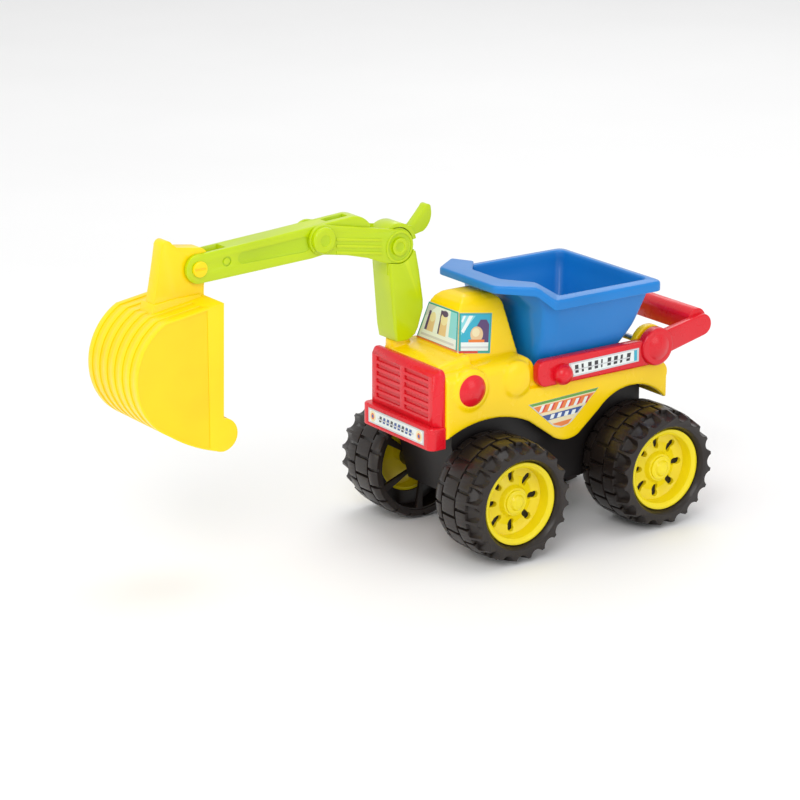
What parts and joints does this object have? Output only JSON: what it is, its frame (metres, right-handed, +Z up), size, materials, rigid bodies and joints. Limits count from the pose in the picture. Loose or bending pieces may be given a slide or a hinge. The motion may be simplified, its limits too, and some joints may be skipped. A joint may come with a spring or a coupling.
{
  "type": "toy backhoe loader",
  "caption": "Plastic push-along dump truck with a tipping bed, push handle and an off-centre jointed digger arm with bucket on the bonnet.",
  "frame": {"origin": "on the ground, under the middle of the whole toy with its arm stretched out", "axes": "+Z up, the truck drives towards -Y, +X is the driver's left"},
  "size_m": [0.184, 0.5063, 0.2688],
  "materials": {
    "yellow_plastic": "glossy bright yellow",
    "rim_plastic": "glossy yellow",
    "bucket_plastic": "glossy warm yellow",
    "red_plastic": "glossy red",
    "blue_plastic": "satin gloss blue",
    "green_plastic": "glossy lime green",
    "black_plastic": "satin black",
    "tyre_plastic": "satin black-brown",
    "steel": "zinc plated",
    "window_sticker": "printed sticker",
    "bumper_sticker": "printed sticker",
    "side_sticker": "printed sticker",
    "rail_sticker": "printed sticker"
  },
  "bodies": {
    "truck": {"body_shell": "yellow_plastic", "chassis": "black_plastic", "grille": "red_plastic", "bumper": "red_plastic", "bumper_sticker": "bumper_sticker", "windscreen": "window_sticker", "window_left": "window_sticker", "window_right": "window_sticker", "side_decal_left": "side_sticker", "side_decal_right": "side_sticker", "side_cap_left": "red_plastic", "side_cap_right": "red_plastic", "chassis_screw_1": "steel", "chassis_screw_2": "steel", "chassis_screw_3": "steel", "chassis_screw_4": "steel"},
    "front_wheels": {"axle_front": "steel", "tyre_front_left": "tyre_plastic", "tyre_front_right": "tyre_plastic", "rim_front_left": "rim_plastic", "rim_front_right": "rim_plastic", "hub_cap_front_left": "rim_plastic", "hub_cap_front_right": "rim_plastic"},
    "rear_wheels": {"axle_rear": "steel", "tyre_rear_left": "tyre_plastic", "tyre_rear_right": "tyre_plastic", "rim_rear_left": "rim_plastic", "rim_rear_right": "rim_plastic", "hub_cap_rear_left": "rim_plastic", "hub_cap_rear_right": "rim_plastic"},
    "tipper": {"dump_bed": "blue_plastic", "handle_bar": "red_plastic", "tip_axle": "steel", "lever_left": "red_plastic", "lever_right": "red_plastic", "ball_pin_left": "red_plastic", "ball_pin_right": "red_plastic", "pivot_cap_left": "red_plastic", "pivot_cap_right": "red_plastic", "rail_sticker_left": "rail_sticker", "rail_sticker_right": "rail_sticker"},
    "arm_base": {"arm_post": "green_plastic", "swivel_clip": "black_plastic"},
    "boom": {"boom_plate_left": "green_plastic", "boom_plate_right": "green_plastic", "boom_lever": "green_plastic", "shoulder_pin": "green_plastic", "elbow_pin": "green_plastic"},
    "forearm": {"forearm": "green_plastic"},
    "bucket": {"bucket": "bucket_plastic", "bucket_pin": "bucket_plastic"}
  },
  "joints": [
    {"name": "front_axle_roll", "type": "hinge", "parent": "truck", "child": "front_wheels", "pos_m": [0, 0.03515, 0.0485], "axis": [1, 0, 0], "continuous": true},
    {"name": "rear_axle_roll", "type": "hinge", "parent": "truck", "child": "rear_wheels", "pos_m": [0, 0.18015, 0.0485], "axis": [1, 0, 0], "continuous": true},
    {"name": "bed_tip", "type": "hinge", "parent": "truck", "child": "tipper", "pos_m": [0, 0.19625, 0.1403], "axis": [-1, 0, 0], "range_deg": [0, 50]},
    {"name": "arm_swivel", "type": "hinge", "parent": "truck", "child": "arm_base", "pos_m": [-0.0315, 0.00315, 0.1535], "axis": [0, 0, 1], "range_deg": [-25, 25]},
    {"name": "shoulder", "type": "hinge", "parent": "arm_base", "child": "boom", "pos_m": [-0.0315, -0.00355, 0.2364], "axis": [-1, 0, 0], "range_deg": [0, 30]},
    {"name": "elbow", "type": "hinge", "parent": "boom", "child": "forearm", "pos_m": [-0.0315, -0.07465, 0.2521], "axis": [1, 0, 0], "range_deg": [-20, 45]},
    {"name": "bucket_curl", "type": "hinge", "parent": "forearm", "child": "bucket", "pos_m": [-0.0315, -0.18215, 0.2447], "axis": [1, 0, 0], "range_deg": [-60, 30]}
  ]
}
